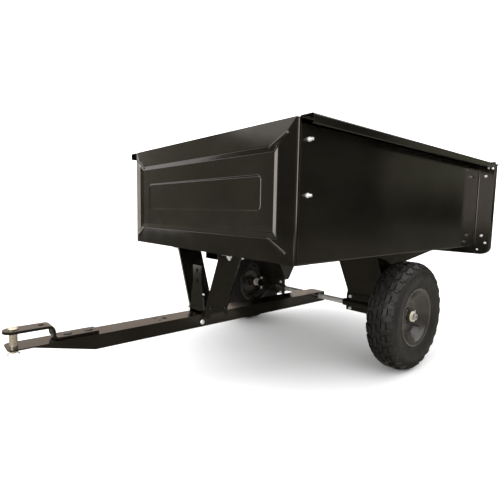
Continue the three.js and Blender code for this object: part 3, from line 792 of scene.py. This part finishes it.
def cotter_pin(side):
    """A split pin: a looped eye at one end and two legs, spread at the other."""
    node = f"cotter_pin_{side}"
    low, high = box(node)
    x = (low.x + high.x) / 2
    y = middle(node).y
    axle = middle("axle").z
    eye_below = axle - low.z > high.z - axle
    way = -1 if eye_below else 1
    eye_end = low.z if eye_below else high.z
    tail = high.z if eye_below else low.z
    loop = [(x, y + 4.0 * math.sin(a), eye_end - way * 5.0 + way * 4.0 * math.cos(a))
            for a in (math.radians(-150 + 300 * k / 16) for k in range(17))]
    legs = [(x, y - 0.75, axle + way * 11), (x, y - 0.75, axle - way * 10), (x, y - 3.2, tail + way * 1.2)]
    other = [(x, y + 0.75, axle + way * 11), (x, y + 0.75, axle - way * 10), (x, y + 2.6, tail + way * 2.2)]
    bm = bmesh.new()
    wire(bm, smooth_path(legs[::-1] + loop + other, 3), 0.72, 8)
    stand_for(node, bm)


# --------------------------------------------------------------------- wheels

TREAD_PITCHES = 26
TYRE_RADIUS = 164.0
TREAD_DEPTH = 5.5


def tread_surface(x, radius):
    """The radius of the tread's outer surface at a distance from the tyre's middle."""
    reach = max(0.0, abs(x) - 16)
    return radius - 0.036 * reach ** 1.85


def tread_block(bm, centre, x_range, angles, radius, skew, depth=TREAD_DEPTH):
    """A moulded lug: its top follows the tread's curve, and its sides slope."""
    corners = []
    for level, inset in ((0, 0.0), (1, 0.9)):
        ring = []
        for u, v in ((0, 0), (1, 0), (1, 1), (0, 1)):
            x = x_range[0] + (x_range[1] - x_range[0]) * u + inset * (1 - 2 * u)
            arc = inset / radius * (1 - 2 * v)
            angle = angles[0] + (angles[1] - angles[0]) * v + arc + skew * x / radius
            r = tread_surface(x, radius) - (depth + 1.5 if level == 0 else 0)
            ring.append(centre + Vector((x, r * math.sin(angle), -r * math.cos(angle))))
        corners.append(ring)
    loft(bm, corners)


def tyre(side):
    """A carcass lathed from one section, with rows of tread blocks standing on it."""
    node = f"tyre_{side}"
    low, high = box(node)
    centre = (low + high) / 2
    radius = TYRE_RADIUS
    bm = bmesh.new()
    carcass = radius - TREAD_DEPTH
    half = (high.x - low.x) / 2
    outer = [
        (33.5, 81), (34.5, 86), (37.0, 90), (38.5, 92.5), (38.0, 95), (39.5, 100), (43.0, 108), (45.6, 116),
        (46.6, 123), (46.4, 128), (47.0, 130), (46.6, 132.5), (45.0, 137), (41.5, 144.5),
        (36.0, 150.5), (27.0, 155), (15.0, carcass),
    ]
    inner = [(15, carcass - 9), (30, 143), (37, 130), (37, 116), (30, 100), (22, 88), (22, 81)]
    scale = half / 47.0
    mirrored = [(-x * scale, r) for x, r in outer]
    ring = [(x * scale, r) for x, r in outer] + mirrored[::-1] + [(-x * scale, r) for x, r in inner[::-1]]
    ring += [(x * scale, r) for x, r in inner]
    lathe(bm, ring, centre, "x", 120, closed=True)
    pitch = 2 * math.pi / TREAD_PITCHES
    for k in range(TREAD_PITCHES):
        start = k * pitch
        for flip in (-1, 1):
            offset = 0 if flip > 0 else pitch / 2
            a = start + offset
            tread_block(bm, centre, sorted((flip * 1.4, flip * 12.5)), (a, a + pitch * 0.62),
                        radius, flip * 0.35)
            tread_block(bm, centre, sorted((flip * 15.0, flip * 26.5)), (a + pitch * 0.42, a + pitch * 1.02),
                        radius, flip * -0.30)
            tread_block(bm, centre, sorted((flip * 29.0, flip * 42.0)), (a + pitch * 0.05, a + pitch * 0.55),
                        radius, flip * 0.15)
            tread_block(bm, centre, sorted((flip * 30.5, flip * 38.5)), (a + pitch * 0.66, a + pitch * 0.94),
                        radius, 0.0)
    stand_for(node, bm, sharp=40)


def rim(side, sign):
    """A one-piece pressed rim with a deep dish and a welded hub tube."""
    node = f"rim_{side}"
    tyre_low, tyre_high = box(f"tyre_{side}")
    centre = (tyre_low + tyre_high) / 2
    bush = box(f"bush_outer_{side}")
    hub_out = max(abs(bush[0].x), abs(bush[1].x)) - abs(centre.x) - 2.8
    profile = rounded([
        (-40, 12.8), (hub_out, 12.8), (hub_out, 17), (11, 17.5), (7, 24), (6.5, 42), (10, 53), (17, 61),
        (29, 74), (35, 79.4), (38, 84), (38, 89), (35.6, 89), (34, 81), (21, 80.4), (12, 66.5),
        (-12, 66.5), (-21, 80.4), (-34, 81), (-35.6, 89), (-38, 89), (-38, 79.0), (-24, 76.5),
        (-10, 63.6), (7, 63.4), (9, 57), (5, 50), (3.4, 42), (3.6, 24), (0, 17.5), (-40, 17),
    ], 2.4, 3, closed=True)
    bm = bmesh.new()
    lathe(bm, [(sign * x, r) for x, r in profile], centre, "x", 96, closed=True)
    piece = stand_for(node, bm, sharp=50)
    valve = middle(f"valve_stem_{side}")
    drill(piece, [("x", 4.3, (centre.x + sign * 16, valve.y, valve.z), 32)])
    piece.data.set_sharp_from_angle(angle=math.radians(50))
    # The rim gets the lighter copy of the black paint: painted light on the dish.
    piece.data.materials[0] = LIT_RIM_PAINT


# ------------------------------------------------------------------- legs


def latch_legs():
    """Formed channels that lean out from the tongue's sides up to the floor."""
    knee = box("tongue")[1].z + 7
    for side, sign in SIDES.items():
        node = f"latch_leg_{side}"
        low, high = box(node)
        plate = 3.0
        foot = min(abs(low.x), abs(high.x)) + 9
        top = max(abs(low.x), abs(high.x)) - 28
        roof = high.z - plate
        spine = rounded([(foot, low.z), (foot, knee), (top, roof)], 14, 5)
        front, rear = low.y, high.y
        section = rounded([(9, front), (plate / 2, front + 12), (plate / 2, rear - 12), (9, rear)], 4, 3)
        outline = thickened(section, plate)
        rings = [[Vector((sign * (x - depth), y, z)) for depth, y in outline] for x, z in spine]
        bm = bmesh.new()
        loft(bm, rings)
        flange = rounded([
            (top - 20, roof - 12), (top - 4, roof + plate / 2), (top + 28, roof + plate / 2),
        ], 5, 4)
        prism(bm, [(sign * x, z) for x, z in thickened(flange, plate)], "y", front + 4, rear - 4)
        stand_for(node, bm)


# -------------------------------------------------------------- build it all

front_panel()
side_panels()
fasteners()
small_screws()
leg_bolts()
hitch_strap()
hitch_pin()
hairpin()
turned_bits()
latch_legs()
for name, sign in SIDES.items():
    tyre(name)
    rim(name, sign)

latch_spring()

EASED = {
    "tongue": 1.4, "latch_lever": 0.6, "bed_floor": 0.4, "bed_channel": 0.6,
    "tail_frame": 0.9, "tailgate": 0.6, "stop_sleeve": 0.8,
}
for name in SIDES:
    EASED[f"axle_bracket_{name}"] = 1.0
    EASED[f"axle_clamp_{name}"] = 0.8
for node, width in EASED.items():
    eased(node, width)


# ------------------------------------------------------- stage, light, camera


WALL_RADIUS = 6.0


def reflection_only(name, points, faces, stops, height=1.0):
    """A glowing card that only reflections see, its colour set by height above the floor."""
    mesh = bpy.data.meshes.new(name)
    mesh.from_pydata(points, [], faces)
    material = bpy.data.materials.new(name)
    material.use_nodes = True
    tree = material.node_tree
    tree.nodes.clear()
    split = tree.nodes.new("ShaderNodeSeparateXYZ")
    tree.links.new(tree.nodes.new("ShaderNodeTexCoord").outputs["Object"], split.inputs["Vector"])
    share = tree.nodes.new("ShaderNodeMath")
    share.operation = "DIVIDE"
    share.inputs[1].default_value = height
    tree.links.new(split.outputs["Z"], share.inputs[0])
    ramp = tree.nodes.new("ShaderNodeValToRGB")
    elements = ramp.color_ramp.elements
    while len(elements) < len(stops):
        elements.new(0.5)
    for element, (position, colour) in zip(elements, stops):
        element.position = position
        element.color = (*colour, 1)
    tree.links.new(share.outputs["Value"], ramp.inputs["Fac"])
    emission = tree.nodes.new("ShaderNodeEmission")
    tree.links.new(ramp.outputs["Color"], emission.inputs["Color"])
    out = tree.nodes.new("ShaderNodeOutputMaterial")
    tree.links.new(emission.outputs["Emission"], out.inputs["Surface"])
    mesh.materials.append(material)
    obj = bpy.data.objects.new(name, mesh)
    bpy.context.scene.collection.objects.link(obj)
    obj.visible_camera = False
    obj.visible_diffuse = False
    obj.visible_shadow = False
    obj.visible_transmission = False
    return emission


def curved_wall(name, start, end, low, high, stops, radius=WALL_RADIUS):
    """Part of a cylinder round the cart, between two compass angles from +X."""
    steps = max(2, round(abs(end - start) / 4))
    points = []
    for k in range(steps + 1):
        angle = math.radians(start + (end - start) * k / steps)
        for z in (low, high):
            points.append((radius * math.cos(angle), radius * math.sin(angle), z))
    faces = [(2 * k, 2 * k + 2, 2 * k + 3, 2 * k + 1) for k in range(steps)]
    return reflection_only(name, points, faces, stops, high)


def floor():
    mesh = bpy.data.meshes.new("floor")
    reach = 30.0
    corners = [(-reach, -reach, 0), (reach, -reach, 0), (reach, reach, 0), (-reach, reach, 0)]
    mesh.from_pydata(corners, [], [(0, 1, 2, 3)])
    shader = Shader("studio_floor", Roughness=0.9, Specular_IOR_Level=0.1)
    tone = shader.noise(1.5, 2.0)
    shader.drive("Base Color", shader.ramp(tone, [(0.3, 0.86), (0.7, 0.88)]))
    mesh.materials.append(shader.material)
    obj = bpy.data.objects.new("floor", mesh)
    bpy.context.scene.collection.objects.link(obj)


def lamp(name, place, target, size, power, colour=(1, 1, 1)):
    data = bpy.data.lights.new(name, "AREA")
    data.shape = "RECTANGLE"
    data.size, data.size_y = size
    data.energy = power
    data.color = colour
    obj = bpy.data.objects.new(name, data)
    obj.location = place
    obj.rotation_euler = (Vector(target) - Vector(place)).to_track_quat("-Z", "Y").to_euler()
    bpy.context.scene.collection.objects.link(obj)


DARK = (0.012, 0.011, 0.008)
OLIVE = (0.20, 0.20, 0.14)
DIM = (0.11, 0.11, 0.085)
TAN = (0.80, 0.67, 0.57)
WARM_WHITE = (1.0, 0.95, 0.91)


def softbox(name, start, end, low, high, strength):
    stops = [(0.0, WARM_WHITE), (1.0, WARM_WHITE)]
    emission = curved_wall(name, start, end, low, high, stops, WALL_RADIUS - 0.5)
    emission.inputs["Strength"].default_value = strength


def dark_floor():
    """Dark ground for reflections: open at the far left, and paler beside the near wheel."""
    columns = (-7.0, -1.75, 0.45, 1.7, 7.0)
    rows = (-7.0, -1.2, 0.0, 1.7, 7.0)
    open_cells = ((0, 0),)
    dimmed = ((2, 2),)
    points = [(x, y, 0.002) for y in rows for x in columns]
    cells = [(i, j) for j in range(4) for i in range(4) if (i, j) not in open_cells + dimmed]
    cards = (
        ("dark_floor", cells, (0.15, 0.14, 0.11)),
        ("dim_floor", dimmed, (0.55, 0.52, 0.47)),
    )
    for name, group, tone in cards:
        faces = [(5 * j + i, 5 * j + i + 1, 5 * j + i + 6, 5 * j + i + 5) for i, j in group]
        reflection_only(name, points, faces, [(0.0, tone), (1.0, tone)])


def studio():
    world = bpy.data.worlds.new("studio")
    world.use_nodes = True
    world.node_tree.nodes["Background"].inputs["Color"].default_value = (1, 1, 1, 1)
    world.node_tree.nodes["Background"].inputs["Strength"].default_value = 2.0
    bpy.context.scene.world = world
    lamp("key", (-1.6, -2.4, 3.2), (0, 0, 0.3), (2.6, 2.6), 30)
    lamp("top", (0.3, 0.3, 3.6), (0, 0, 0), (3.0, 3.0), 25)
    curved_wall("wall_front", 200, 247, 0.0, 4.2,
                [(0.0, (0.19, 0.175, 0.13)), (0.24, (0.28, 0.26, 0.20)), (1.0, (0.34, 0.31, 0.245))])
    curved_wall("wall_front_dark", 247, 268, 0.0, 4.2, [(0.0, DARK), (1.0, DARK)])
    curved_wall("wall_left", 92, 188, 0.0, 3.8, [(0.0, TAN), (1.0, TAN)])
    curved_wall("wall_right", 322, 417, 0.0, 3.6, [(0.0, DARK), (0.6, DARK), (1.0, (0.05, 0.05, 0.04))])
    curved_wall("wall_rear_right", 57, 92, 0.0, 3.6,
                [(0.0, DIM), (0.06, DIM), (0.11, DARK), (0.16, DARK),
                 (0.30, OLIVE), (0.45, OLIVE), (0.9, DIM)])
    softbox("softbox_camera_side", 268, 322, 0.3, 2.8, 7.0)
    softbox("softbox_left", 188, 198, 0.1, 1.7, 3.6)
    dark_floor()
    scene = bpy.context.scene
    scene.view_settings.view_transform = "Standard"


CAMERA_PLACE = Vector((0.9189, -0.8680, 0.4698))
CAMERA_AZIMUTH, CAMERA_ELEVATION, CAMERA_ROLL = 48.95, 5.72, 1.11
CAMERA_LENS, CAMERA_SENSOR = 27.78, 36.0


def camera():
    data = bpy.data.cameras.new("camera")
    data.sensor_width = CAMERA_SENSOR
    data.lens = CAMERA_LENS
    data.clip_start = 0.01
    obj = bpy.data.objects.new("camera", data)
    bpy.context.scene.collection.objects.link(obj)
    obj.matrix_world = (
        Matrix.Translation(CAMERA_PLACE)
        @ Matrix.Rotation(math.radians(CAMERA_AZIMUTH), 4, "Z")
        @ Matrix.Rotation(math.radians(90 - CAMERA_ELEVATION), 4, "X")
        @ Matrix.Rotation(math.radians(CAMERA_ROLL), 4, "Z")
    )
    bpy.context.scene.camera = obj


floor()
studio()
camera()
